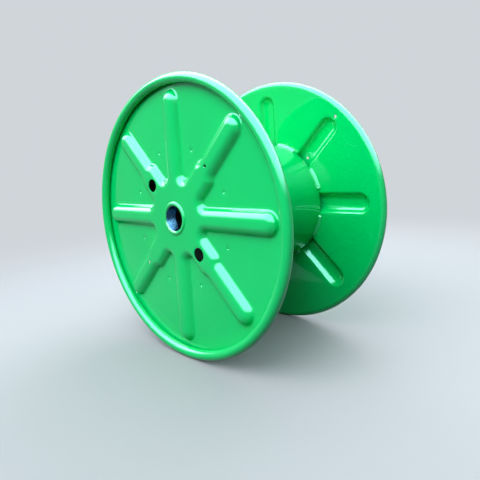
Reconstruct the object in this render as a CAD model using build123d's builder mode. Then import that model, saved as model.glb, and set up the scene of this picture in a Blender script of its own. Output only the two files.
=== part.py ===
from build123d import *
import os
from math import acos, asin, cos, degrees, hypot, radians, sin, tan

# Pressed steel cable bobbin, lying on the rims of its two flanges with its axis along Y.
# Millimetres. The origin is on the axis, halfway between the flanges, and +Z is up.

# Overall sizes, and the gauge of the flange sheet
FLANGE_RADIUS = 315.0
WINDING_WIDTH = 322.0
SHEET = 2.0

# Rolled rim: the sheet's edge curled outwards in flats, until its edge nearly meets the sheet again
RIM_RADIUS = 11.0
CURL_GAP = 3.5
QUARTER_FLATS = 2
RETURN_FLATS = 5

# Pressed star: eight ribs round a hub, every second rib with a wider pad at its foot
RIB_COUNT = 8
STAR_HEIGHT = 15.0
DRAFT = 30.0
RIB_WIDTH = 50.0
RIB_TO_RIM = 12.0
HUB_REACH = 90.0
PAD_WIDTH = 66.0
PAD_REACH = 138.0
PAD_SHOULDER = 12.0
CROWN_BEND = 8.0
FOOT_BEND = 5.0

# Barrel: a rolled tube, welded to the flats between the ribs
BARREL_RADIUS = 152.5
BARREL_WALL = 2.5
BARREL_WELD = 5.0
WELD_TO_RIB = 8.0

# Hub bushes: bored rings that stand a little proud of the hub, with a weld round the outside
BORE_RADIUS = 28.0
BORE_CHAMFER = 1.5
BUSH_WALL = 7.0
BUSH_LENGTH = 30.0
BUSH_PROUD = 3.0
BUSH_FIT = 0.15

# Holes in each flange: two for drive pins, two for the cable's inner end and two for its outer end
DRIVE_HOLE_RADIUS = 15.0
DRIVE_HOLE_OFFSET = 104.0
DRIVE_DIAGONAL = 135.0
CABLE_HOLE_RADIUS = 3.5
START_HOLE_TO_BARREL = 5.0
END_HOLE_TO_RIM = 4.5
CABLE_DIAGONAL = 45.0

# Faces and planes of the front flange, which looks towards -Y
inner_face = WINDING_WIDTH / 2
outer_face = inner_face + SHEET
hub_face = outer_face + STAR_HEIGHT
inner_plane = Plane.XZ.offset(inner_face)
outer_plane = Plane.XZ.offset(outer_face)
hub_plane = Plane.XZ.offset(hub_face)

# Circles that the rib tips and the cable's holes lie on
rim_inside = FLANGE_RADIUS - 2 * RIM_RADIUS
rib_tip = rim_inside - RIB_TO_RIM
start_circle = BARREL_RADIUS + START_HOLE_TO_BARREL
end_circle = rim_inside - END_HOLE_TO_RIM
rib_pitch = 360 / RIB_COUNT

# The sheet turns through this angle at the crown and at the foot of every slope. Each bend is one
# flat band between the ends of its round. The inside of the star is drawn in, and its bands are
# shifted, so that slopes and bands keep the sheet's gauge.
bend = radians(90 - DRAFT)
slope_inset = SHEET * tan(bend / 2)
band_shift = SHEET * (tan(bend / 2) - tan(bend / 4))
crown_band = CROWN_BEND * tan(bend / 2)
foot_band = FOOT_BEND * tan(bend / 2)


def star_outline(part, face):
    """The edges of the star's outline, where it meets the flat sheet at y = -face."""
    flat = part.edges().filter_by_position(Axis.Y, -face, -face)
    return flat.filter_by(lambda edge: max(hypot(end.X, end.Z) for end in edge.vertices()) < rim_inside)


def pressed_star(plane, inset, band):
    """The star as a solid that stands on the plane, with its outline drawn in by inset."""
    half_rib = RIB_WIDTH / 2 - inset
    half_pad = PAD_WIDTH / 2 - inset
    tip_centre = rib_tip - RIB_WIDTH / 2
    pad_end = PAD_REACH + PAD_SHOULDER
    with BuildPart() as star:
        with BuildSketch(plane):
            RegularPolygon(HUB_REACH - inset, RIB_COUNT, major_radius=False)
            with PolarLocations(0, RIB_COUNT):
                Rectangle(tip_centre, 2 * half_rib, align=(Align.MIN, Align.CENTER))
            with PolarLocations(tip_centre, RIB_COUNT):
                Circle(half_rib)
            with PolarLocations(0, RIB_COUNT // 2, start_angle=rib_pitch):
                Polygon(
                    (0, -half_pad),
                    (PAD_REACH, -half_pad),
                    (pad_end, -half_rib),
                    (pad_end, half_rib),
                    (PAD_REACH, half_pad),
                    (0, half_pad),
                    align=None,
                )
        extrude(amount=STAR_HEIGHT, taper=DRAFT)
        chamfer(star.faces().sort_by(Axis.Y)[0].edges(), band)
    return star.part


outside_star = pressed_star(outer_plane, 0, crown_band)
inside_star = pressed_star(inner_plane, slope_inset, crown_band - band_shift)

# Section of the rolled rim: its centre, how far round it goes, and the turns where its flats meet
rim_centre = FLANGE_RADIUS - RIM_RADIUS
wrap = 360 - degrees(acos((RIM_RADIUS - SHEET - CURL_GAP) / RIM_RADIUS))
first_turns = [90 * flat / QUARTER_FLATS for flat in range(QUARTER_FLATS)]
last_turns = [90 + (wrap - 90) * flat / RETURN_FLATS for flat in range(RETURN_FLATS + 1)]
curl_turns = first_turns + last_turns


def on_curl(radius, turn):
    """Point of the curl's section, at a turn from where it leaves the flat sheet."""
    across = rim_centre + radius * sin(radians(turn))
    along = -inner_face - RIM_RADIUS + radius * cos(radians(turn))
    return (across, along)


# Front flange: one pressing with its star, rolled rim and holes
with BuildPart() as front_flange:
    with BuildSketch(Plane.XY):
        with BuildLine():
            Polyline(
                (0, -outer_face),
                (0, -inner_face),
                *(on_curl(RIM_RADIUS, turn) for turn in curl_turns),
                *(on_curl(RIM_RADIUS - SHEET, turn) for turn in reversed(curl_turns)),
                close=True,
            )
        make_face()
    revolve(axis=Axis.Y)
    add(outside_star)
    chamfer(star_outline(front_flange, outer_face), foot_band)
    add(inside_star, mode=Mode.SUBTRACT)
    chamfer(star_outline(front_flange, inner_face), foot_band + band_shift)
    with BuildSketch(hub_plane):
        Circle(BORE_RADIUS + BUSH_WALL + BUSH_FIT)
        with PolarLocations(DRIVE_HOLE_OFFSET, 2, start_angle=DRIVE_DIAGONAL):
            Circle(DRIVE_HOLE_RADIUS)
        with PolarLocations(start_circle, 2, start_angle=CABLE_DIAGONAL):
            Circle(CABLE_HOLE_RADIUS)
        with PolarLocations(end_circle, 2, start_angle=CABLE_DIAGONAL):
            Circle(CABLE_HOLE_RADIUS)
    extrude(amount=inner_face - hub_face, mode=Mode.SUBTRACT)
front_flange.part.label = "front_flange"

# Rear flange: the same pressing, facing the other way
with BuildPart() as rear_flange:
    mirror(front_flange.part, about=Plane.XZ)
rear_flange.part.label = "rear_flange"

# Barrel, with the weld runs that hold it to the flats between the ribs
groove_half_angle = degrees(asin((RIB_WIDTH / 2 + WELD_TO_RIB) / BARREL_RADIUS))
weld_arc = rib_pitch - 2 * groove_half_angle
with BuildPart() as barrel:
    with BuildSketch(Plane.XZ):
        Circle(BARREL_RADIUS)
        Circle(BARREL_RADIUS - BARREL_WALL, mode=Mode.SUBTRACT)
    extrude(amount=inner_face, both=True)
    for rib in range(RIB_COUNT):
        weld_start = rib * rib_pitch + groove_half_angle
        for end in (-1, 1):
            with BuildSketch(Plane.XY.rotated((0, -weld_start, 0))):
                with BuildLine():
                    Polyline(
                        (BARREL_RADIUS, end * inner_face),
                        (BARREL_RADIUS + BARREL_WELD, end * inner_face),
                        (BARREL_RADIUS, end * (inner_face - BARREL_WELD)),
                        close=True,
                    )
                make_face()
            revolve(axis=Axis.Y, revolution_arc=-weld_arc)
barrel.part.label = "barrel"

# Front hub bush, with its weld run on the outside of the hub
bush_radius = BORE_RADIUS + BUSH_WALL
bush_end = hub_face + BUSH_PROUD
with BuildPart() as front_bush:
    with BuildSketch(Plane.XY):
        with BuildLine():
            Polyline(
                (BORE_RADIUS, BUSH_LENGTH - bush_end),
                (BORE_RADIUS, BORE_CHAMFER - bush_end),
                (BORE_RADIUS + BORE_CHAMFER, -bush_end),
                (bush_radius, -bush_end),
                (bush_radius + BUSH_PROUD, -hub_face),
                (bush_radius, -hub_face),
                (bush_radius, BUSH_LENGTH - bush_end),
                close=True,
            )
        make_face()
    revolve(axis=Axis.Y)
front_bush.part.label = "front_bush"

# Rear hub bush: the same ring, facing the other way
with BuildPart() as rear_bush:
    mirror(front_bush.part, about=Plane.XZ)
rear_bush.part.label = "rear_bush"

os.makedirs("parts", exist_ok=True)
for piece in (front_flange, rear_flange, barrel, front_bush, rear_bush):
    export_step(piece.part, f"parts/{piece.part.label}.step")
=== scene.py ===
from math import atan2, cos, pi, radians, sin, sqrt, tan

import bmesh
import bpy
from bpy.props import FloatProperty, FloatVectorProperty, PointerProperty
from mathutils import Matrix, Vector
from mathutils.geometry import delaunay_2d_cdt, intersect_point_line


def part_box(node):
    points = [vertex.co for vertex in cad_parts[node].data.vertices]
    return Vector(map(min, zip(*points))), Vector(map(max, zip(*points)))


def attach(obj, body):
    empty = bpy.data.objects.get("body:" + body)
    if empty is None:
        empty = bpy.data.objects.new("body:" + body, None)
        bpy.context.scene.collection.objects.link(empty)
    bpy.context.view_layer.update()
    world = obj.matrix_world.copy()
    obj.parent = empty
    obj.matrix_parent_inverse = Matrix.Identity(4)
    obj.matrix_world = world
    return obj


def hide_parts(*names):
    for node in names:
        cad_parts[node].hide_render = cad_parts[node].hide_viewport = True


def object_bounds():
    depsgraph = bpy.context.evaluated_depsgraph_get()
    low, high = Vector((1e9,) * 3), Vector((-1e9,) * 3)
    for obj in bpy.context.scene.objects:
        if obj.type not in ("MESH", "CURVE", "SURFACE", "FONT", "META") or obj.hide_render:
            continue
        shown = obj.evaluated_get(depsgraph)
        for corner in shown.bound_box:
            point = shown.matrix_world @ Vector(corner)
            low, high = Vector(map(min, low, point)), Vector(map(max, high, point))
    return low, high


bl_info = {
    "name": "Cable bobbin",
    "version": (1, 0, 0),
    "blender": (4, 5, 0),
    "location": "3D View > Sidebar > Bobbin",
    "description": "Dresses the packed cable bobbin with its pressed flanges, welds, paint and stage",
    "category": "Object",
}

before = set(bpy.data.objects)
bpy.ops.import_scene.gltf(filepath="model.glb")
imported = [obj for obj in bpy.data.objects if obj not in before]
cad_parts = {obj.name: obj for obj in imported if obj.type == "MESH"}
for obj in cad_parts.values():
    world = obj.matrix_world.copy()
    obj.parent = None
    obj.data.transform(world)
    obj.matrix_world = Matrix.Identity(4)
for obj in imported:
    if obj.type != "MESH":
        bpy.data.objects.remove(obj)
cad_low, cad_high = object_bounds()
flange_low, flange_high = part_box("front_flange")
bush_low, bush_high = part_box("front_bush")

MM = 0.001
HAIR = 0.000002

# The flange stands against the barrel's end at this distance from the middle, and its curl reaches
# from there to the outermost face. Its radius stays a hair inside the frame's box.
INNER_FACE = -flange_high.y
RIM_RADIUS = (flange_high.y - flange_low.y) / 2
FLANGE_RADIUS = min(flange_high.x, flange_high.z, -flange_low.x, -flange_low.z) - HAIR

# The star's ribs and the angle between two of them, and the rounds of a pad's shoulder: the outer one,
# and the one where the narrower rib goes on
RIBS = 8
PITCH = 2 * pi / RIBS
SHOULDER_ROUND = 21 * MM
NARROW_ROUND = 10 * MM

# How finely the sheet is divided: the spacing of points on its flats, the steps along and round its
# outline, the steps of its bends, and the points round its holes, its marks and half its rim
FLAT_SPACING = 9 * MM
RUN_STEP = 11 * MM
ARC_STEP = radians(11)
FOOT_STEPS = 6
CROWN_STEPS = 10
HOLE_POINTS = 48
CABLE_HOLE_POINTS = 24
MARK_POINTS = 16
HALF_RIM_POINTS = 128

# The half's edge starts on a point of the whole rim, near the cut through the gap.
RIM_START = radians(-28.125)

# Points of a tree's mesh that lie this near to each other are one.
TOUCHING = 0.00002

# The kinds of node that are used most, and the Mix node's sockets for its two colours and the mixed one
MATH, RANGE = "ShaderNodeMath", "ShaderNodeMapRange"
NOISE, MIX = "ShaderNodeTexNoise", "ShaderNodeMix"
FIRST, SECOND, MIXED = 6, 7, 2


def linear(code):
    """sRGB hex colour as linear red, green, blue and alpha."""
    coded = [int(code[start:start + 2], 16) / 255 for start in (1, 3, 5)]
    light = [value / 12.92 if value <= 0.04045 else ((value + 0.055) / 1.055) ** 2.4 for value in coded]
    return light + [1.0]


def length_property(label, description, default):
    return FloatProperty(
        name=label, description=description, default=default, min=0.0, precision=5,
        unit="LENGTH", subtype="DISTANCE",
    )


def angle_property(label, description, default):
    return FloatProperty(
        name=label, description=description, default=default, unit="ROTATION", subtype="ANGLE"
    )


class BobbinFlangeSizes(bpy.types.PropertyGroup):
    """Sizes of one pressed flange."""

    radius: length_property("Radius", "From the axis to the outside of the rolled rim", FLANGE_RADIUS)
    gauge: length_property("Gauge", "Thickness of the flange's sheet", 2 * MM)
    rim_radius: length_property("Rim radius", "Outside radius of the rolled rim's curl", RIM_RADIUS)
    rim_wrap: angle_property("Rim wrap", "How far round the sheet's edge is curled", radians(300))
    star_height: length_property("Star height", "How far hub and ribs stand out from the sheet", 15 * MM)
    draft: angle_property("Draft", "Lean of the star's slopes from the pressing direction", radians(30))
    crown_bend: length_property("Crown bend", "Outside radius where a slope meets the crown", 20 * MM)
    foot_bend: length_property("Foot bend", "Radius where a slope meets the flat sheet", 5.5 * MM)
    rib_width: length_property("Rib width", "Width of a rib at its foot", 50 * MM)
    rib_tip: length_property("Rib tip", "From the axis to the end of a rib", 281 * MM)
    pad_width: length_property("Pad width", "Width of the pad at the foot of a diagonal rib", 66 * MM)
    pad_reach: length_property("Pad reach", "From the axis to where a pad starts to narrow", 138 * MM)
    pad_shoulder: length_property("Pad shoulder", "Length over which a pad narrows to its rib", 12 * MM)
    hub_corner: length_property("Hub corner", "Radius of the outline between two ribs", 10 * MM)
    bush_hole: length_property("Bush hole", "Radius of the hole for the hub bush", 35.15 * MM)
    drive_hole: length_property("Drive hole", "Radius of the holes for drive pins", 15 * MM)
    drive_circle: length_property("Drive circle", "From the axis to a drive hole", 104 * MM)
    cable_hole: length_property("Cable hole", "Radius of the holes for the cable's ends", 3.5 * MM)
    start_circle: length_property("Start circle", "From the axis to the cable's inner hole", 157.5 * MM)
    end_circle: length_property("End circle", "From the axis to the cable's outer hole", 288.5 * MM)
    mark_circle: length_property("Mark circle", "From the axis to the punched marks", 156.5 * MM)
    mark_radius: length_property("Mark radius", "Radius of a punched mark", 2.8 * MM)
    mark_depth: length_property("Mark depth", "Depth of a punched mark", 1.6 * MM)
    waviness: length_property("Waviness", "Unevenness that pressing leaves in the flat sheet", 0.2 * MM)


class BobbinBarrelSizes(bpy.types.PropertyGroup):
    """Sizes of the barrel and its weld runs."""

    radius: length_property("Radius", "Outside radius of the barrel", 152.5 * MM)
    wall: length_property("Wall", "Thickness of the barrel's wall", 2.5 * MM)
    weld_leg: length_property("Weld leg", "Leg of the weld runs that hold the barrel", 6.5 * MM)
    weld_angle: angle_property("Weld angle", "How far round each weld run goes", radians(22))
    ripple: length_property("Ripple", "Spacing of the ripples in the weld runs", 2.6 * MM)
    ripple_depth: length_property("Ripple depth", "Depth of the valleys between ripples", 0.3 * MM)


class BobbinBushSizes(bpy.types.PropertyGroup):
    """Sizes of the hub bushes."""

    bore: length_property("Bore", "Radius of the bore", 28 * MM)
    chamfer: length_property("Chamfer", "Chamfer at the bore's mouth", 2.5 * MM)
    wall: length_property("Wall", "Thickness of the bush's wall", 7 * MM)
    weld_leg: length_property("Weld leg", "Leg of the weld round the bush", 3.0 * MM)


class BobbinFinish(bpy.types.PropertyGroup):
    """Colour of the paint and level of the studio's light."""

    paint: FloatVectorProperty(
        name="Paint", description="Colour of the gloss paint", subtype="COLOR", size=3, min=0, max=1,
        default=linear("#00D66E")[:3],
    )
    lamps: FloatProperty(name="Lamps", description="Share of the lamps' power", default=1.0, min=0.0)


def give(tree, node, given):
    """Sets each value on the node's input of that name or number, or links it where it is an output."""
    for key, value in given.items():
        if isinstance(value, bpy.types.NodeSocket):
            tree.links.new(value, node.inputs[key])
        else:
            node.inputs[key].default_value = value


def add(tree, kind, *values, sockets=None, **settings):
    """Adds a node with its settings, gives its inputs their values in turn, and returns its outputs."""
    node = tree.nodes.new(kind)
    for name, setting in settings.items():
        setattr(node, name, setting)
    give(tree, node, {**dict(enumerate(values)), **(sockets or {})})
    return node.outputs


def new_tree(name, sizes):
    """Geometry node tree with a named input for each size, and its input and output nodes."""
    tree = bpy.data.node_groups.new(name, "GeometryNodeTree")
    tree.interface.new_socket("Geometry", in_out="OUTPUT", socket_type="NodeSocketGeometry")
    tree.interface.new_socket("Geometry", in_out="INPUT", socket_type="NodeSocketGeometry")
    kinds = {int: "NodeSocketInt", float: "NodeSocketFloat", bpy.types.Material: "NodeSocketMaterial"}
    for label, value in sizes.items():
        kind = next(kinds[known] for known in kinds if isinstance(value, known))
        tree.interface.new_socket(label, in_out="INPUT", socket_type=kind)
    return tree, tree.nodes.new("NodeGroupInput").outputs, tree.nodes.new("NodeGroupOutput").inputs


def give_tree(piece, tree, sizes):
    """Puts the tree on the piece, with every named size set by its socket."""
    modifier = piece.modifiers.new(tree.name, "NODES")
    modifier.node_group = tree
    known = {item.name: item.identifier for item in tree.interface.items_tree if item.in_out == "INPUT"}
    for label, value in sizes.items():
        modifier[known[label]] = value


def end_tree(tree, geometry, paint, result):
    """Ends a tree with real mesh and its paint."""
    real = add(tree, "GeometryNodeRealizeInstances", geometry)[0]
    painted = add(tree, "GeometryNodeSetMaterial", real, sockets={"Material": paint})[0]
    tree.links.new(painted, result["Geometry"])


def round_axis(tree, radius, along, angle):
    """Position at a radius and an angle round the bobbin's axis, and along it from the middle."""
    sine, cosine = (add(tree, MATH, angle, operation=wave)[0] for wave in ("SINE", "COSINE"))
    across = add(tree, MATH, radius, cosine, operation="MULTIPLY")[0]
    up = add(tree, MATH, radius, sine, operation="MULTIPLY")[0]
    return add(tree, "ShaderNodeCombineXYZ", across, along, up)[0]


def turned_copies(tree, geometry, count, first):
    """Copies of the geometry, spaced evenly round the axis from the first angle, made real."""
    index = add(tree, "GeometryNodeInputIndex")[0]
    pitch = add(tree, MATH, 2 * pi, count, operation="DIVIDE")[0]
    turn = add(tree, MATH, index, pitch, first, operation="MULTIPLY_ADD")[0]
    about = add(tree, MATH, turn, -1.0, operation="MULTIPLY")[0]
    rotation = add(tree, "ShaderNodeCombineXYZ", 0.0, about, 0.0)[0]
    points = add(tree, "GeometryNodePoints", count)[0]
    copied = {"Instance": geometry, "Rotation": rotation}
    placed = add(tree, "GeometryNodeInstanceOnPoints", points, sockets=copied)[0]
    return add(tree, "GeometryNodeRealizeInstances", placed)[0]


def new_piece(name, points, faces):
    """A mesh object at the origin, with its points in metres."""
    mesh = bpy.data.meshes.new(name)
    mesh.from_pydata([tuple(point) for point in points], [], faces)
    mesh.validate()
    piece = bpy.data.objects.new(name, mesh)
    bpy.context.scene.collection.objects.link(piece)
    return piece


def make_plain(piece, sharp):
    """Turns the piece's modifiers into plain closed mesh, smooth but for edges above the sharp angle."""
    bpy.context.view_layer.update()
    depsgraph = bpy.context.evaluated_depsgraph_get()
    mesh = bpy.data.meshes.new_from_object(piece.evaluated_get(depsgraph), depsgraph=depsgraph)
    piece.modifiers.clear()
    unfinished = piece.data
    piece.data = mesh
    bpy.data.meshes.remove(unfinished)
    mesh.name = piece.name
    mesh.shade_smooth()
    mesh.set_sharp_from_angle(angle=sharp)
    check_closed(piece)


def soften_edges(piece, width, sharp):
    """Breaks the piece's sharp edges, and keeps its flats flat in the shading."""
    bevel = piece.modifiers.new("Broken edges", "BEVEL")
    bevel.width = width
    bevel.segments = 2
    bevel.limit_method = "ANGLE"
    bevel.angle_limit = sharp
    weighted = piece.modifiers.new("Flat flats", "WEIGHTED_NORMAL")
    weighted.keep_sharp = True
    weighted.weight = 60


def check_closed(piece):
    """Stops the making where a piece has an open edge or is inside out."""
    shell = bmesh.new()
    shell.from_mesh(piece.data)
    loose = sum(not edge.is_manifold for edge in shell.edges)
    volume = shell.calc_volume(signed=True)
    shell.free()
    if loose or volume <= 0:
        raise RuntimeError(f"{piece.name} has {loose} open edges and a volume of {volume:.6f}")


def new_finish(name):
    """A new material with its node tree and its shader."""
    finish = bpy.data.materials.new(name)
    finish.use_nodes = True
    shader = finish.node_tree.nodes["Principled BSDF"]
    shader.inputs["IOR"].default_value = 1.5
    return finish, finish.node_tree, shader


def paint_colour(share=1.0):
    """The paint's colour, made lighter or darker, with its alpha."""
    return [min(channel * share, 1.0) for channel in bpy.context.scene.bobbin_finish.paint] + [1.0]


def enamel(name, peel):
    """Gloss alkyd enamel, sprayed over primer: a smooth, wet-looking green with faint orange peel, whose
    depth is in millimetres."""
    paint, tree, shader = new_finish(name)
    where = add(tree, "ShaderNodeTexCoord")["Object"]
    # The coat's thickness drifts over about 90 mm, which shifts the green a little. Dust and drying
    # leave the gloss uneven over 25 mm. The peel is 3 mm across, and the coat's slower swell 17 mm.
    drift, haze, skin, swell = (
        add(tree, NOISE, sockets={"Vector": where, "Scale": scale, "Detail": detail})[0]
        for scale, detail in ((11.0, 2.0), (40.0, 3.0), (330.0, 1.0), (60.0, 1.0))
    )
    greens = {0: drift, FIRST: paint_colour(0.94), SECOND: paint_colour(1.05)}
    tone = add(tree, MIX, sockets=greens, data_type="RGBA")[MIXED]
    gloss = add(tree, RANGE, haze, 0.3, 0.7, 0.03, 0.07)[0]
    # The swell is three times as deep as the peel.
    height = add(tree, MATH, swell, 3.0, skin, operation="MULTIPLY_ADD")[0]
    relief = {"Strength": 1.0, "Distance": peel * MM, "Height": height}
    bump = add(tree, "ShaderNodeBump", sockets=relief)[0]
    give(tree, shader, {"Base Color": tone, "Roughness": gloss, "Normal": bump})
    # The coat throws cool highlights back, as the green pigment just under the gloss takes out the red.
    shader.inputs["Specular Tint"].default_value = linear("#B2FFFF")
    return paint


def mill_scale_and_painted_shade():
    """Hot-rolled sheet steel's blue-black mill scale where no spray reaches, darkened as painted shade.
    """
    name = "Mill scale and painted shade on rolled sheet steel"
    found = bpy.data.materials.get(name)
    if found:
        return found
    scale, tree, shader = new_finish(name)
    where = add(tree, "ShaderNodeTexCoord")["Object"]
    # Scale flakes and rolls out in patches about 15 mm across.
    patches = add(tree, NOISE, sockets={"Vector": where, "Scale": 65.0, "Detail": 4.0})[0]
    # The scale's tones are made near black, as painted shade inside the closed barrel.
    skins = {0: patches, FIRST: linear("#14171B"), SECOND: linear("#2A2D31")}
    tone = add(tree, MIX, sockets=skins, data_type="RGBA")[MIXED]
    rough = add(tree, RANGE, patches, 0.3, 0.7, 0.45, 0.7)[0]
    give(tree, shader, {"Base Color": tone, "Roughness": rough})
    return scale


def leave_bare_as_painted_shade(piece, closed_in_shade):
    """Leaves the mill scale, darkened as painted shade, on faces closed in before the paint is sprayed.
    """
    piece.data.materials.append(mill_scale_and_painted_shade())
    for face in piece.data.polygons:
        if closed_in_shade(face.center, face.normal):
            face.material_index = len(piece.data.materials) - 1


def bored_steel(bore):
    """Mild steel bush: sprayed outside with the flange, bare and bright where the bore was turned."""
    steel, tree, shader = new_finish("Turned mild steel and gloss enamel")
    where = add(tree, "ShaderNodeTexCoord")["Object"]
    split = add(tree, "ShaderNodeSeparateXYZ", where)
    flat = add(tree, "ShaderNodeCombineXYZ", split[0], split[2], 0.0)[0]
    from_axis = add(tree, "ShaderNodeVectorMath", flat, operation="LENGTH")["Value"]
    # Overspray ends raggedly within half a millimetre of the bore's edge.
    rag = add(tree, NOISE, sockets={"Vector": where, "Scale": 250.0, "Detail": 3.0})[0]
    edge = add(tree, MATH, rag, 0.5 * MM, from_axis, operation="MULTIPLY_ADD")[0]
    bare = add(tree, RANGE, edge, bore + 0.4 * MM, bore + 0.6 * MM, 1.0, 0.0)[0]
    # The tool leaves rings round the bore, drawn 1.2 mm apart so that they show, with steep sides that
    # throw the light from in front back out of the bore.
    rings = add(
        tree, "ShaderNodeTexWave", wave_type="BANDS", bands_direction="Y",
        sockets={"Vector": where, "Scale": 260.0, "Distortion": 1.0, "Detail": 1.0},
    )[1]
    # Oil and handling have stained the steel in patches about 10 mm across.
    stain = add(tree, NOISE, sockets={"Vector": where, "Scale": 90.0, "Detail": 3.0})[0]
    steels = {0: stain, FIRST: linear("#142C3C"), SECOND: linear("#5088AE")}
    metal = add(tree, MIX, sockets=steels, data_type="RGBA")[MIXED]
    coats = {0: bare, FIRST: paint_colour(), SECOND: metal}
    colour = add(tree, MIX, sockets=coats, data_type="RGBA")[MIXED]
    ringed = add(tree, RANGE, stain, 0.3, 0.7, 0.16, 0.30)[0]
    rough = add(tree, MIX, sockets={0: bare, 2: 0.08, 3: ringed}, data_type="FLOAT")[0]
    depth = add(tree, MATH, rings, bare, operation="MULTIPLY")[0]
    relief = {"Strength": 1.0, "Distance": 0.3 * MM, "Height": depth}
    bump = add(tree, "ShaderNodeBump", sockets=relief)[0]
    give(tree, shader, {"Base Color": colour, "Metallic": bare, "Roughness": rough, "Normal": bump})
    return steel


def plan(radius, angle):
    """Point of the flange's plan, as x and z, at a radius and an angle round the axis."""
    return Vector((radius * cos(angle), radius * sin(angle)))


def circle_points(centre, radius, count, start=0.0, sweep=2 * pi):
    """Points round a circle, without the last one where it closes."""
    steps = count if sweep == 2 * pi else count + 1
    return [centre + plan(radius, start + sweep * step / count) for step in range(steps)]


def between(start, end, spacing):
    """Points between two others, with neither of them."""
    pieces = max(1, round((end - start).length / spacing))
    return [start.lerp(end, piece / pieces) for piece in range(1, pieces)]


def quads(rings, count, closed):
    """Faces between rings of points, each as many points as the count, that are closed round or open."""
    return [
        [at + n, at + (n + 1) % count, at + count + (n + 1) % count, at + count + n]
        for at in range(0, (rings - 1) * count, count)
        for n in range(count if closed else count - 1)
    ]


def rounded_loop(corners):
    """Points and outward normals of a closed outline whose corners, given with a radius, are rounded."""
    points, normals = [], []
    count = len(corners)
    for place, (corner, radius) in enumerate(corners):
        came = (corner - corners[place - 1][0]).normalized()
        goes = (corners[(place + 1) % count][0] - corner).normalized()
        turn = atan2(came.x * goes.y - came.y * goes.x, came.dot(goes))
        reach = radius * tan(abs(turn) / 2)
        start = corner - came * reach
        out = Vector((came.y, -came.x))
        if points:
            run = between(points[-1], start, RUN_STEP)
            points += run
            normals += [out] * len(run)
        side = 1 if turn > 0 else -1
        centre = start - out * radius * side
        steps = 2 * max(1, round(abs(turn) / ARC_STEP / 2))
        for step in range(steps + 1):
            normal = Matrix.Rotation(turn * step / steps, 2) @ out
            points.append(centre + normal * radius * side)
            normals.append(normal)
    run = between(points[-1], points[0], RUN_STEP)
    return points + run, normals + [normals[-1]] * len(run)


def star_corners(sizes):
    """Corners of the star's outline, each with its radius, from the gap below the level rib."""
    rib, pad = sizes.rib_width / 2, sizes.pad_width / 2
    narrow = sizes.pad_reach + sizes.pad_shoulder
    corners = []
    for number in range(RIBS):
        turned = Matrix.Rotation(number * PITCH, 2)
        here, before = (pad, rib) if number % 2 else (rib, pad)
        # The sides of this rib and of the one before it would meet at this point of the gap.
        inward = (before + here * cos(PITCH)) / sin(PITCH)
        corners.append((turned @ Vector((inward, -here)), sizes.hub_corner))
        shape = [(sizes.rib_tip, -rib, rib), (sizes.rib_tip, rib, rib)]
        if number % 2:
            # The shoulder's outer round is the larger, so that the crown inside it stays rounded.
            shape = [
                (sizes.pad_reach, -pad, SHOULDER_ROUND),
                (narrow, -rib, NARROW_ROUND),
                *shape,
                (narrow, rib, NARROW_ROUND),
                (sizes.pad_reach, pad, SHOULDER_ROUND),
            ]
        corners += [(turned @ Vector((out, aside)), radius) for out, aside, radius in shape]
    return corners


def crown_edge(sizes):
    """How far inside the star's outline the crown has turned level."""
    return sizes.star_height * tan(sizes.draft) + sizes.crown_bend * tan((pi / 2 - sizes.draft) / 2)


def slope_section(sizes):
    """Section of a slope from the flat sheet to the crown, as steps out from the outline and heights."""
    bend = pi / 2 - sizes.draft
    foot, crown = sizes.foot_bend, sizes.crown_bend
    foot_turns = [bend * step / FOOT_STEPS for step in range(FOOT_STEPS + 1)]
    crown_turns = [bend * step / CROWN_STEPS for step in range(CROWN_STEPS, -1, -1)]
    rise = [(foot * tan(bend / 2) - foot * sin(turn), foot * (1 - cos(turn))) for turn in foot_turns]
    top = [
        (crown * sin(turn) - crown_edge(sizes), sizes.star_height - crown * (1 - cos(turn)))
        for turn in crown_turns
    ]
    return rise + top


def clear_of(start, end, holes):
    """Whether the run from start to end stays a little away from every hole."""
    clearance = 0.8 * MM
    for centre, radius, _ in holes:
        share = intersect_point_line(centre, start, end)[1]
        nearest = start.lerp(end, min(max(share, 0.0), 1.0))
        if (nearest - centre).length < radius + clearance:
            return False
    return True


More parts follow.
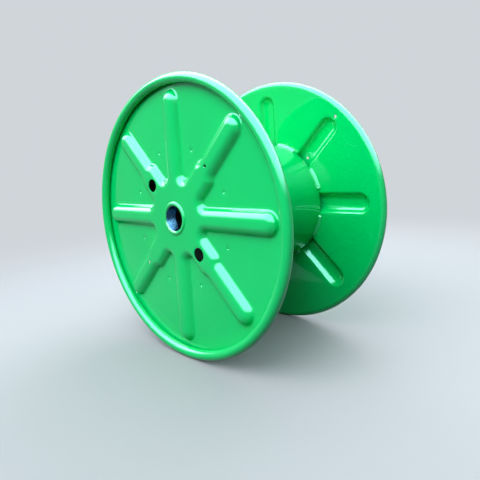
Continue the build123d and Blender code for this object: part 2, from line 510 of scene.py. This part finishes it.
def filled(boundary, lines, holes, height_of):
    """Fills a region of the plan with triangles, with its holes left open and points spread inside it.

    The boundary and the lines that the triangles follow are points with their heights.
    """
    points = list(boundary)
    edges = []
    for line in lines:
        for (start, low), (end, high) in zip(line, line[1:]):
            if clear_of(start, end, holes):
                edges.append((len(points), len(points) + 1))
                points += [(start, low), (end, high)]
    for centre, radius, count in holes:
        first = len(points)
        points += [(spot, height_of(spot)) for spot in circle_points(centre, radius, count)]
        edges += [(first + step, first + (step + 1) % count) for step in range(count)]

    # The inside gets points in staggered rows, but none near a point that is there already.
    near = FLAT_SPACING * 0.6
    row_gap = FLAT_SPACING * sqrt(0.75)
    cells = {}
    for spot, _ in points:
        cells.setdefault((int(spot.x // near), int(spot.y // near)), []).append(spot)
    low = Vector((min(spot.x for spot, _ in boundary), min(spot.y for spot, _ in boundary)))
    high = Vector((max(spot.x for spot, _ in boundary), max(spot.y for spot, _ in boundary)))
    for row in range(1, int((high.y - low.y) / row_gap) + 1):
        for column in range(int((high.x - low.x) / FLAT_SPACING) + 1):
            spot = low + Vector(((column + row % 2 / 2) * FLAT_SPACING, row * row_gap))
            cell = (int(spot.x // near), int(spot.y // near))
            close = [
                other
                for across in (-1, 0, 1)
                for up in (-1, 0, 1)
                for other in cells.get((cell[0] + across, cell[1] + up), [])
            ]
            if all((other - spot).length > near for other in close):
                points.append((spot, height_of(spot)))

    # The triangles are found in millimetres, to within 1e-4 of one. Type 1 leaves out those outside
    # the boundary, and those inside a hole are left out after it.
    scaled = [spot / MM for spot, _ in points]
    found = delaunay_2d_cdt(scaled, edges, [list(range(len(boundary)))], 1, 1e-4)
    places = [points[origins[0]] for origins in found[3]]
    kept = []
    for triangle in found[2]:
        middle = sum((places[corner][0] for corner in triangle), Vector((0, 0))) / 3
        if all((middle - centre).length > radius * 0.98 for centre, radius, _ in holes):
            kept.append(triangle)
    used = sorted({corner for triangle in kept for corner in triangle})
    number = {corner: n for n, corner in enumerate(used)}
    return [places[corner] for corner in used], [[number[corner] for corner in face] for face in kept]


def half_sheet(sizes):
    """Outer face of half a flange's sheet, up to where the rim's curl starts, as points and faces.

    A point is x, its distance from the inner face along the axis, and z.
    """
    outline, outward = rounded_loop(star_corners(sizes))
    # The half starts at the middle of the round in the gap below the level rib.
    run_start = next(n for n in range(1, len(outline)) if (outward[n] - outward[n - 1]).length < 1e-6)
    middle = (run_start - 1) // 2
    outline = outline[middle:] + outline[:middle]
    outward = outward[middle:] + outward[:middle]
    half = len(outline) // 2
    rings = [
        [(outline[n % len(outline)] + outward[n % len(outline)] * out, height) for n in range(half + 1)]
        for out, height in slope_section(sizes)
    ]
    points, faces = [], []

    def lay(spots, patches):
        first = len(points)
        points.extend((spot.x, sizes.gauge + height, spot.y) for spot, height in spots)
        faces.extend([first + corner for corner in patch] for patch in patches)

    # Slopes: the last two rings are left to the crown, because a drive hole cuts through them.
    slopes, crown_rings = rings[:-2], rings[-2:]
    lay([place for ring in slopes for place in ring], quads(len(slopes), half + 1, closed=False))

    # Crown, with the bush hole, a drive hole and the hole for the cable's inner end
    def crown_height(spot):
        nearest = min(range(len(outline)), key=lambda n: (outline[n] - spot).length_squared)
        short = crown_edge(sizes) - (outline[nearest] - spot).dot(outward[nearest])
        short = min(max(short, 0.0), sizes.crown_bend)
        return sizes.star_height - sizes.crown_bend + sqrt(sizes.crown_bend**2 - short**2)

    def closed(loop, inner_loop, steps_in):
        """Boundary from one cut of the half to the other, out along one loop and back along the next."""
        back = [(-spot, height) for spot, height in reversed(steps_in)]
        return loop + steps_in + inner_loop[::-1] + back

    axis = Vector((0, 0))
    mouth = circle_points(axis, sizes.bush_hole, HOLE_POINTS, -PITCH / 2, pi)
    steps_in = [ring[-1] for ring in crown_rings]
    steps_in += [(spot, sizes.star_height) for spot in between(steps_in[-1][0], mouth[-1], FLAT_SPACING)]
    crown_holes = [
        (plan(sizes.drive_circle, 3 * PITCH), sizes.drive_hole, HOLE_POINTS),
        (plan(sizes.start_circle, PITCH), sizes.cable_hole, CABLE_HOLE_POINTS),
    ]
    boundary = closed(slopes[-1], [(spot, sizes.star_height) for spot in mouth], steps_in)
    lay(*filled(boundary, crown_rings, crown_holes, crown_height))

    # Flat sheet, with the hole for the cable's outer end and four punched marks
    edge = circle_points(axis, sizes.radius - sizes.rim_radius, HALF_RIM_POINTS, RIM_START, pi)
    steps_in = [(spot, 0.0) for spot in between(edge[-1], rings[0][-1][0], FLAT_SPACING)]
    marks = [plan(sizes.mark_circle, radians(turn)) for turn in (-21.3, 21.3, 68.7, 111.3)]
    sheet_holes = [(mark, sizes.mark_radius, MARK_POINTS) for mark in marks]
    sheet_holes.append((plan(sizes.end_circle, PITCH), sizes.cable_hole, CABLE_HOLE_POINTS))
    boundary = closed([(spot, 0.0) for spot in edge], rings[0], steps_in)
    lay(*filled(boundary, [], sheet_holes, lambda spot: 0.0))

    # A punched mark is a blunt cone with a rounded lip: shares of its radius and its depth
    profile = ((1.0, 0.0), (0.85, 0.12), (0.6, 0.5), (0.3, 0.9), (0.08, 1.0))
    for mark in marks:
        dents = [
            (spot, -sizes.mark_depth * depth)
            for share, depth in profile
            for spot in circle_points(mark, sizes.mark_radius * share, MARK_POINTS)
        ]
        bottom = list(range(len(dents) - MARK_POINTS, len(dents)))
        lay(dents, [*quads(len(profile), MARK_POINTS, closed=True), bottom])
    return points, faces


def flange_tree(sizes):
    """Tree that turns half a sheet into a whole one, rolls its rim and lets the sheet swell a little."""
    tree, given, result = new_tree("Pressed flange", sizes)
    sheet = turned_copies(tree, given["Geometry"], given["Repeats"], 0.0)

    # The rim's curl is a strip, bent round the curl one way and round the axis the other.
    strip = add(tree, "GeometryNodeMeshGrid", 1.0, 1.0, given["Rim steps"], given["Curl steps"])[0]
    spot = add(tree, "ShaderNodeSeparateXYZ", add(tree, "GeometryNodeInputPosition")[0])
    turn = add(tree, MATH, spot[0], 2 * pi, operation="MULTIPLY")[0]
    turn = add(tree, MATH, turn, given["Side"], operation="MULTIPLY")[0]
    curl = add(tree, RANGE, spot[1], -0.5, 0.5, 0.0, given["Wrap"])[0]
    sine, cosine = (add(tree, MATH, curl, operation=wave)[0] for wave in ("SINE", "COSINE"))
    radius = add(
        tree, MATH, sine, given["Curl radius"], given["Curl centre"], operation="MULTIPLY_ADD"
    )[0]
    fall = add(tree, MATH, cosine, given["Curl radius"], operation="MULTIPLY")[0]
    reach = add(tree, MATH, given["Curl depth"], fall, operation="SUBTRACT")[0]
    along = add(tree, MATH, reach, given["Side"], operation="MULTIPLY")[0]
    curled = round_axis(tree, radius, along, turn)
    rim = add(tree, "GeometryNodeSetPosition", strip, sockets={"Position": curled})[0]

    whole = add(tree, "GeometryNodeJoinGeometry", sheet)[0]
    tree.links.new(rim, whole.node.inputs[0])
    merged = add(tree, "GeometryNodeMergeByDistance", whole, sockets={"Distance": TOUCHING})[0]

    # Slow waves along the axis, which fade out towards the rim and the bush hole
    place = add(tree, "GeometryNodeInputPosition")[0]
    slow = {"Vector": place, "Scale": given["Waves per metre"], "Detail": 0.0}
    wave = add(tree, NOISE, sockets=slow, noise_dimensions="3D")[0]
    from_axis = add(tree, "ShaderNodeVectorMath", place, (1.0, 0.0, 1.0), operation="MULTIPLY")[0]
    from_axis = add(tree, "ShaderNodeVectorMath", from_axis, operation="LENGTH")["Value"]
    off_rim = add(tree, RANGE, from_axis, 240 * MM, 290 * MM, 1.0, 0.0)[0]
    off_hub = add(tree, RANGE, from_axis, 40 * MM, 70 * MM, 0.0, 1.0)[0]
    free = add(tree, MATH, off_rim, off_hub, operation="MULTIPLY")[0]
    swing = add(tree, RANGE, wave, 0.25, 0.75, -1.0, 1.0)[0]
    swing = add(tree, MATH, swing, given["Waviness"], operation="MULTIPLY")[0]
    swing = add(tree, MATH, swing, free, operation="MULTIPLY")[0]
    offset = add(tree, "ShaderNodeCombineXYZ", 0.0, swing, 0.0)[0]
    swelled = add(tree, "GeometryNodeSetPosition", merged, sockets={"Offset": offset})[0]
    end_tree(tree, swelled, given["Paint"], result)
    return tree


def weld_tree(sizes):
    """Tree that lays weld runs in the corner between a round wall and a plate."""
    tree, given, result = new_tree("Weld runs", sizes)
    # Of the strip's eleven columns the outer two lie in the corner, and the others on the run's skin.
    strip = add(tree, "GeometryNodeMeshGrid", 1.0, 1.0, given["Steps"], 11)[0]
    spot = add(tree, "ShaderNodeSeparateXYZ", add(tree, "GeometryNodeInputPosition")[0])
    across = add(tree, RANGE, spot[1], -0.4, 0.4, pi / 2, 0.0)[0]
    aside = add(tree, MATH, spot[1], operation="ABSOLUTE")[0]
    on_skin = add(tree, MATH, aside, 0.45, operation="LESS_THAN")[0]
    turn = add(tree, MATH, spot[0], given["Run angle"], operation="MULTIPLY")[0]
    # The run's ends are rounded off.
    to_end = add(tree, MATH, spot[0], operation="ABSOLUTE")[0]
    to_end = add(tree, MATH, 0.5, to_end, operation="SUBTRACT")[0]
    to_end = add(tree, MATH, to_end, given["Run angle"], operation="MULTIPLY")[0]
    to_end = add(tree, MATH, to_end, given["Wall radius"], operation="MULTIPLY")[0]
    full = add(tree, RANGE, to_end, 0.0, given["End length"], 0.0, 1.0)[0]
    full = add(tree, MATH, full, 0.5, operation="POWER")[0]
    # Ripples bow along the run, as the pool froze.
    travel = add(tree, MATH, turn, given["Wall radius"], operation="MULTIPLY")[0]
    travel = add(tree, MATH, travel, given["Ripple"], operation="DIVIDE")[0]
    bow = add(tree, MATH, spot[1], 2.0, operation="POWER")[0]
    bow = add(tree, MATH, bow, 5.0, travel, operation="MULTIPLY_ADD")[0]
    phase = add(tree, MATH, bow, operation="FRACT")[0]
    phase = add(tree, MATH, phase, pi, operation="MULTIPLY")[0]
    wave = add(tree, MATH, phase, operation="SINE")[0]
    dip = add(tree, MATH, wave, 1.0, operation="SUBTRACT")[0]
    dip = add(tree, MATH, dip, given["Ripple depth"], operation="MULTIPLY")[0]
    # The skin is flatter than a quarter round.
    twice = add(tree, MATH, across, 2.0, operation="MULTIPLY")[0]
    twice = add(tree, MATH, twice, operation="SINE")[0]
    flat = add(tree, MATH, twice, twice, operation="MULTIPLY")[0]
    flat = add(tree, MATH, flat, given["Flatness"], operation="MULTIPLY")[0]
    flat = add(tree, MATH, 1.0, flat, operation="SUBTRACT")[0]
    reach = add(tree, MATH, flat, given["Leg"], dip, operation="MULTIPLY_ADD")[0]
    reach = add(tree, MATH, reach, full, operation="MULTIPLY")[0]
    reach = add(tree, MATH, reach, on_skin, operation="MULTIPLY")[0]
    sine, cosine = (add(tree, MATH, across, operation=wave)[0] for wave in ("SINE", "COSINE"))
    radius = add(tree, MATH, reach, cosine, given["Wall radius"], operation="MULTIPLY_ADD")[0]
    away = add(tree, MATH, reach, sine, operation="MULTIPLY")[0]
    along = add(tree, MATH, away, given["Away"], given["Plate"], operation="MULTIPLY_ADD")[0]
    turn = add(tree, MATH, turn, given["Away"], operation="MULTIPLY")[0]
    bent = round_axis(tree, radius, along, turn)
    run = add(tree, "GeometryNodeSetPosition", strip, sockets={"Position": bent})[0]
    run = add(tree, "GeometryNodeMergeByDistance", run, sockets={"Distance": TOUCHING})[0]
    runs = turned_copies(tree, run, given["Runs"], given["First angle"])
    # No two runs are the same: each wanders a little.
    place = add(tree, "GeometryNodeInputPosition")[0]
    uneven = {"Vector": place, "Scale": 160.0, "Detail": 1.0, "W": given["Seed"]}
    stray = add(tree, NOISE, sockets=uneven, noise_dimensions="4D")[1]
    stray = add(tree, "ShaderNodeVectorMath", stray, (0.5, 0.5, 0.5), operation="SUBTRACT")[0]
    stray = add(
        tree, "ShaderNodeVectorMath", stray, sockets={"Scale": given["Unevenness"]}, operation="SCALE"
    )[0]
    wandered = add(tree, "GeometryNodeSetPosition", runs, sockets={"Offset": stray})[0]
    end_tree(tree, wandered, given["Paint"], result)
    return tree


def turned_ring(name, section, segments, side=1):
    """A closed ring, turned round the axis from its section of radii and places along the axis."""
    points, faces = [], []
    for step in range(segments):
        angle = 2 * pi * step / segments
        points += [(radius * cos(angle), side * along, radius * sin(angle)) for radius, along in section]
    count = len(section)
    for step in range(segments):
        here, there = step * count, (step + 1) % segments * count
        for n in range(count):
            after = (n + 1) % count
            face = [here + n, here + after, there + after, there + n]
            faces.append(face if side < 0 else face[::-1])
    return new_piece(name, points, faces)


class BOBBIN_OT_press_flanges(bpy.types.Operator):
    """Press both flanges from sheet, with their ribs, holes, punched marks and rolled rims"""

    bl_idname = "bobbin.press_flanges"
    bl_label = "Press flanges"

    def execute(self, context):
        sizes = context.scene.bobbin_flange
        points, faces = half_sheet(sizes)
        paint = enamel("Gloss green enamel on pressed sheet steel", peel=0.03)
        # Spray reaches this far in past the barrel's end, along the grooves. Beyond it, what looks
        # towards the other flange stays bare, with near-black mill scale as painted shade.
        spray_reach = 35 * MM
        inside = context.scene.bobbin_barrel.radius - spray_reach
        for node, side in (("front_flange", -1), ("rear_flange", 1)):
            placed = [(x, side * (INNER_FACE + along), z) for x, along, z in points]
            facing = faces if side < 0 else [face[::-1] for face in faces]
            flange = new_piece(f"{node}_pressing", placed, facing)
            inputs = {
                "Repeats": 2,
                "Side": float(side),
                "Rim steps": 2 * HALF_RIM_POINTS + 1,
                "Curl steps": 37,
                "Wrap": sizes.rim_wrap,
                "Curl radius": sizes.rim_radius - sizes.gauge,
                "Curl centre": sizes.radius - sizes.rim_radius,
                "Curl depth": INNER_FACE + sizes.rim_radius,
                "Waviness": sizes.waviness,
                "Waves per metre": 9.0,
                "Paint": paint,
            }
            tree = bpy.data.node_groups.get("Pressed flange") or flange_tree(inputs)
            give_tree(flange, tree, inputs)
            wall = flange.modifiers.new("Gauge", "SOLIDIFY")
            wall.thickness = sizes.gauge
            wall.offset = -1.0
            wall.use_even_offset = True
            soften_edges(flange, width=0.3 * MM, sharp=radians(50))
            make_plain(flange, sharp=radians(60))
            leave_bare_as_painted_shade(
                flange, lambda at, normal: normal.y * side < -0.15 and at.x**2 + at.z**2 < inside**2
            )
            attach(flange, "root")
            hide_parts(node)
        return {"FINISHED"}


class BOBBIN_OT_roll_barrel(bpy.types.Operator):
    """Roll the barrel from sheet, with broken edges at its ends"""

    bl_idname = "bobbin.roll_barrel"
    bl_label = "Roll barrel"

    def execute(self, context):
        sizes = context.scene.bobbin_barrel
        rings = 12
        steps = [INNER_FACE * (2 * step / rings - 1) for step in range(rings + 1)]
        section = [(sizes.radius, along) for along in reversed(steps)]
        section += [(sizes.radius - sizes.wall, along) for along in steps]
        barrel = turned_ring("barrel_tube", section, segments=192)
        soften_edges(barrel, width=0.4 * MM, sharp=radians(50))
        make_plain(barrel, sharp=radians(60))
        barrel.data.materials.append(enamel("Gloss green enamel on rolled tube", peel=0.03))
        # The barrel's inside keeps its mill scale, near black as painted shade.
        middle = sizes.radius - sizes.wall / 2
        leave_bare_as_painted_shade(barrel, lambda at, normal: at.x**2 + at.z**2 < middle**2)
        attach(barrel, "root")
        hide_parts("barrel")
        return {"FINISHED"}


class BOBBIN_OT_turn_bushes(bpy.types.Operator):
    """Turn the two hub bushes, painted outside and bare in the bore"""

    bl_idname = "bobbin.turn_bushes"
    bl_label = "Turn bushes"

    def execute(self, context):
        sizes = context.scene.bobbin_bush
        steel = bored_steel(sizes.bore)
        mouth, back = -bush_low.y, -bush_high.y
        lip = mouth - sizes.chamfer
        outside = sizes.bore + sizes.wall
        rings = 6
        depths = [lip - (lip - back) * step / rings for step in range(rings + 1)]
        section = [(sizes.bore, depth) for depth in reversed(depths)]
        section += [(sizes.bore + sizes.chamfer, mouth), (outside, mouth), (outside, back)]
        for node, side in (("front_bush", -1), ("rear_bush", 1)):
            bush = turned_ring(f"{node}_ring", section, segments=128, side=side)
            soften_edges(bush, width=0.35 * MM, sharp=radians(35))
            make_plain(bush, sharp=radians(60))
            bush.data.materials.append(steel)
            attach(bush, "root")
            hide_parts(node)
        return {"FINISHED"}


class BOBBIN_OT_run_welds(bpy.types.Operator):
    """Lay the weld runs between the grooves at the barrel's ends, and round the bushes"""

    bl_idname = "bobbin.run_welds"
    bl_label = "Run welds"

    def execute(self, context):
        barrel, bush = context.scene.bobbin_barrel, context.scene.bobbin_bush
        flange = context.scene.bobbin_flange
        hub_face = INNER_FACE + flange.gauge + flange.star_height
        # A weld reaches this far into the steel on both sides of its corner.
        sink = 0.3 * MM
        shared = {
            "Ripple": barrel.ripple,
            "Ripple depth": barrel.ripple_depth,
            "Unevenness": 0.5 * MM,
            "Paint": enamel("Gloss green enamel over weld runs", peel=0.05),
        }
        barrel_runs = {
            "Runs": RIBS,
            "First angle": PITCH / 2,
            "Run angle": barrel.weld_angle,
            "Wall radius": barrel.radius - sink,
            "Leg": barrel.weld_leg + sink,
            "Flatness": 0.16,
            "End length": 4 * MM,
            "Steps": 121,
        }
        # The run round a bush ends past its own start.
        bush_run = {
            "Runs": 1,
            "First angle": radians(-62),
            "Run angle": 2 * pi + radians(12),
            "Wall radius": bush.bore + bush.wall - sink,
            "Leg": bush.weld_leg + sink,
            "Flatness": 0.3,
            "End length": 5 * MM,
            "Steps": 420,
        }
        # Each row: name, slot, sizes, the plate that the weld lies on, and the way that it faces
        rows = [
            row
            for end, side in (("front", -1.0), ("rear", 1.0))
            for row in (
                (f"{end}_barrel_welds", "barrel_paint", barrel_runs, side * INNER_FACE, -side),
                (f"{end}_bush_weld", "bush", bush_run, side * hub_face, side),
            )
        ]
        for number, (name, slot, own, plate, away) in enumerate(rows):
            welds = new_piece(name, [], [])
            inputs = {**own, **shared, "Plate": plate - away * sink, "Away": away, "Seed": float(number)}
            tree = bpy.data.node_groups.get("Weld runs") or weld_tree(inputs)
            give_tree(welds, tree, inputs)
            make_plain(welds, sharp=radians(80))
            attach(welds, "root")
        return {"FINISHED"}


def seen_directly(tree, rays):
    """One for camera, glossy and transmission rays, which see the pale backdrop."""
    seen = add(tree, MATH, rays["Is Camera Ray"], rays["Is Glossy Ray"], operation="MAXIMUM")[0]
    return add(tree, MATH, seen, rays["Is Transmission Ray"], operation="MAXIMUM")[0]


def lay_floor(backdrop):
    """Matt floor under the bobbin, wide enough to reach past every view."""
    floor = new_piece("studio_floor", [], [])
    disc = bmesh.new()
    bmesh.ops.create_circle(disc, cap_ends=True, radius=40.0, segments=96)
    disc.to_mesh(floor.data)
    disc.free()
    floor.data.transform(Matrix.Translation((0, 0, cad_low.z)))
    pale, tree, shader = new_finish("Matt pale studio floor")
    seen = seen_directly(tree, add(tree, "ShaderNodeLightPath"))
    greys = {0: seen, FIRST: linear("#202020"), SECOND: linear("#9EA2A6")}
    tone = add(tree, MIX, sockets=greys, data_type="RGBA")[MIXED]
    give(tree, shader, {"Base Color": tone, "Roughness": 0.9, "Specular IOR Level": 0.2})
    # From the bobbin's shadow outwards the floor fades into the backdrop, with no horizon.
    shadow_reach, all_backdrop = 0.45, 2.2
    where = add(tree, "ShaderNodeTexCoord")["Object"]
    away = add(tree, "ShaderNodeVectorMath", where, operation="LENGTH")["Value"]
    fade = add(tree, RANGE, away, shadow_reach, all_backdrop, interpolation_type="SMOOTHSTEP")[0]
    fade = add(tree, MATH, fade, seen, operation="MULTIPLY")[0]
    glow = add(tree, "ShaderNodeEmission", backdrop, 1.0)[0]
    both = add(tree, "ShaderNodeMixShader", fade, shader.outputs[0], glow)[0]
    tree.links.new(both, tree.nodes["Material Output"].inputs["Surface"])
    floor.data.materials.append(pale)


def light_world(scene, backdrop):
    """World that gives a soft light, shows the backdrop, and gives the enamel its highlights."""
    world = bpy.data.worlds.new("Studio")
    scene.world = world
    world.use_nodes = True
    tree = world.node_tree
    rays = add(tree, "ShaderNodeLightPath")
    toward = add(tree, "ShaderNodeTexCoord")["Generated"]
    up = add(tree, "ShaderNodeSeparateXYZ", toward)[2]
    height = add(tree, RANGE, up, 0.0, 0.9)[0]
    lights = {0: height, FIRST: linear("#34383A"), SECOND: linear("#C4D4DE")}
    light = add(tree, MIX, sockets=lights, data_type="RGBA")[MIXED]
    tones = {0: seen_directly(tree, rays), FIRST: light, SECOND: backdrop}
    tone = add(tree, MIX, sockets=tones, data_type="RGBA")[MIXED]
    # Gloss shows a bright dome above the floor's edge. Heights are shares of straight up.
    dome_start, dome_full, dome_strength = 0.14, 0.5, 22.0
    direct = add(tree, MATH, rays["Diffuse Depth"], 0.5, operation="LESS_THAN")[0]
    glossy = add(tree, MATH, rays["Is Glossy Ray"], direct, operation="MULTIPLY")[0]
    # The dome starts higher behind the bobbin, at about 30 degrees up.
    back, raised_most = (-0.64, 0.77, 0.0), 0.42
    behind = add(tree, "ShaderNodeVectorMath", toward, back, operation="DOT_PRODUCT")["Value"]
    raised = add(
        tree, RANGE, behind, 0.3, 0.64, 0.0, raised_most, interpolation_type="SMOOTHSTEP"
    )[0]
    clear = add(tree, MATH, up, raised, operation="SUBTRACT")[0]
    dome = add(
        tree, RANGE, clear, dome_start, dome_full, 0.0, dome_strength,
        interpolation_type="SMOOTHSTEP",
    )[0]
    shine = add(tree, MATH, dome, glossy, 1.0, operation="MULTIPLY_ADD")[0]
    give(tree, tree.nodes["Background"], {"Color": tone, "Strength": shine})


def hang_lamps(scene):
    """Softboxes in front, overhead and behind."""
    # Each lamp: place, aim, width, height and brightness of its face
    lamps = {
        "Front softbox": ((0.4, -2.2, 2.1), (0.0, -0.1, 0.0), 3.0, 2.2, 5.6),
        "Overhead softbox": ((0.6, 0.3, 2.6), (0.1, 0.0, 0.0), 3.2, 3.2, 1.4),
        "Rear softbox": ((-0.7, 2.4, 1.8), (0.0, 0.1, 0.0), 2.6, 2.0, 5.0),
    }
    for name, (place, aim, width, height, brightness) in lamps.items():
        data = bpy.data.lights.new(name, "AREA")
        data.shape = "RECTANGLE"
        data.size, data.size_y = width, height
        data.energy = brightness * pi * width * height * scene.bobbin_finish.lamps
        lamp = bpy.data.objects.new(name, data)
        # The gloss shows the dome in the lamp's place.
        lamp.visible_glossy = False
        lamp.location = place
        lamp.rotation_euler = (Vector(aim) - Vector(place)).to_track_quat("-Z", "Y").to_euler()
        scene.collection.objects.link(lamp)


def set_camera(scene):
    """Camera solved on both rims of the bobbin."""
    place, aim, roll = Vector((0.7738, -0.779, 0.12)), Vector((-0.0919, 0.0, 0.0229)), -0.0721
    ahead = (aim - place).normalized()
    right = ahead.cross(Vector((0, 0, 1))).normalized()
    up = right.cross(ahead)
    rolled_right = right * cos(roll) + up * sin(roll)
    rolled_up = up * cos(roll) - right * sin(roll)
    data = bpy.data.cameras.new("Camera")
    data.sensor_width = 36.0
    data.lens = 33.366
    data.shift_x, data.shift_y = 0.0729, -0.0854
    data.clip_start = 0.05
    camera = bpy.data.objects.new("Camera", data)
    turn = Matrix((rolled_right, rolled_up, -ahead)).transposed()
    camera.matrix_world = Matrix.Translation(place) @ turn.to_4x4()
    scene.collection.objects.link(camera)
    scene.camera = camera


class BOBBIN_OT_set_stage(bpy.types.Operator):
    """Set the pale floor, the soft lamps and the camera"""

    bl_idname = "bobbin.set_stage"
    bl_label = "Set stage"

    def execute(self, context):
        context.scene.view_settings.view_transform = "Standard"
        backdrop = linear("#D0D5DA")
        lay_floor(backdrop)
        light_world(context.scene, backdrop)
        hang_lamps(context.scene)
        set_camera(context.scene)
        return {"FINISHED"}


class BOBBIN_PT_panel(bpy.types.Panel):
    """Lists the bobbin's sizes and the steps that make it"""

    bl_idname = "BOBBIN_PT_panel"
    bl_label = "Cable bobbin"
    bl_space_type = "VIEW_3D"
    bl_region_type = "UI"
    bl_category = "Bobbin"

    def draw(self, context):
        for label, group, steps in PANEL_ROWS:
            box = self.layout.box()
            box.label(text=label)
            settings = getattr(context.scene, group)
            for name in settings.__annotations__:
                box.prop(settings, name)
            for step in steps:
                box.operator(step)


PANEL_ROWS = (
    ("Flanges", "bobbin_flange", ("bobbin.press_flanges",)),
    ("Barrel", "bobbin_barrel", ("bobbin.roll_barrel",)),
    ("Bushes", "bobbin_bush", ("bobbin.turn_bushes", "bobbin.run_welds")),
    ("Finish and stage", "bobbin_finish", ("bobbin.set_stage",)),
)
SETTINGS = {
    "bobbin_flange": BobbinFlangeSizes,
    "bobbin_barrel": BobbinBarrelSizes,
    "bobbin_bush": BobbinBushSizes,
    "bobbin_finish": BobbinFinish,
}
STEPS = (
    BOBBIN_OT_press_flanges,
    BOBBIN_OT_roll_barrel,
    BOBBIN_OT_turn_bushes,
    BOBBIN_OT_run_welds,
    BOBBIN_OT_set_stage,
)


def register():
    for group in (*SETTINGS.values(), *STEPS, BOBBIN_PT_panel):
        bpy.utils.register_class(group)
    for name, group in SETTINGS.items():
        setattr(bpy.types.Scene, name, PointerProperty(type=group))


def unregister():
    for name in SETTINGS:
        delattr(bpy.types.Scene, name)
    for group in (BOBBIN_PT_panel, *reversed(STEPS), *reversed(SETTINGS.values())):
        bpy.utils.unregister_class(group)


def main():
    register()
    bpy.ops.bobbin.press_flanges()
    bpy.ops.bobbin.roll_barrel()
    bpy.ops.bobbin.turn_bushes()
    bpy.ops.bobbin.run_welds()
    bpy.ops.bobbin.set_stage()


if __name__ == "__main__":
    main()
